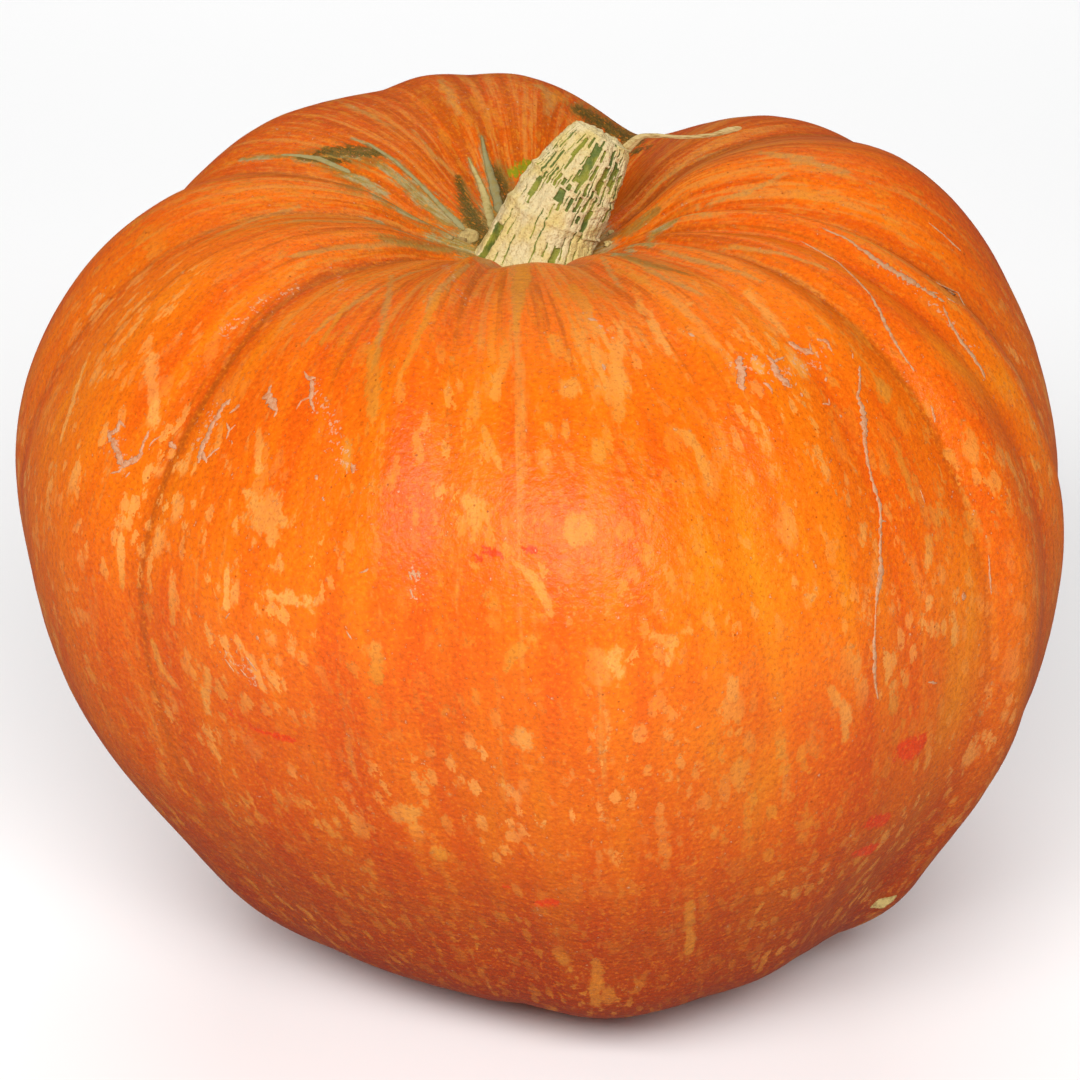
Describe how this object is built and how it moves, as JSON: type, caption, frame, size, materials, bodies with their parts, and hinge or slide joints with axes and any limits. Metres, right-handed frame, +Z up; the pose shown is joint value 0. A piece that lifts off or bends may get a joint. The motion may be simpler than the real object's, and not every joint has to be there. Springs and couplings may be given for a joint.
{
  "type": "pumpkin",
  "caption": "Large ripe ribbed pumpkin, lopsided and deeply notched behind, with a leaning netted corky stem in its hollow and a torn strand at the stem's broken top.",
  "frame": {"origin": "the middle of the box that holds the whole pumpkin, on the surface it stands on", "axes": "+Z is up, along the pumpkin's shortest extent; -Y faces the viewer of the picture; the deep notch is at the back, towards +Y, and the stem leans towards +X"},
  "size_m": [0.3942, 0.3886, 0.3182],
  "materials": {
    "rind": "smooth satin orange rind with straw-coloured flecks and corky scars",
    "stem_cork": "rough cream cork netted over green",
    "dry_fibre": "dry matt straw-coloured plant fibre"
  },
  "bodies": {
    "root": {"fruit": "rind", "stem": "stem_cork", "stem_strand": "dry_fibre"}
  },
  "joints": []
}
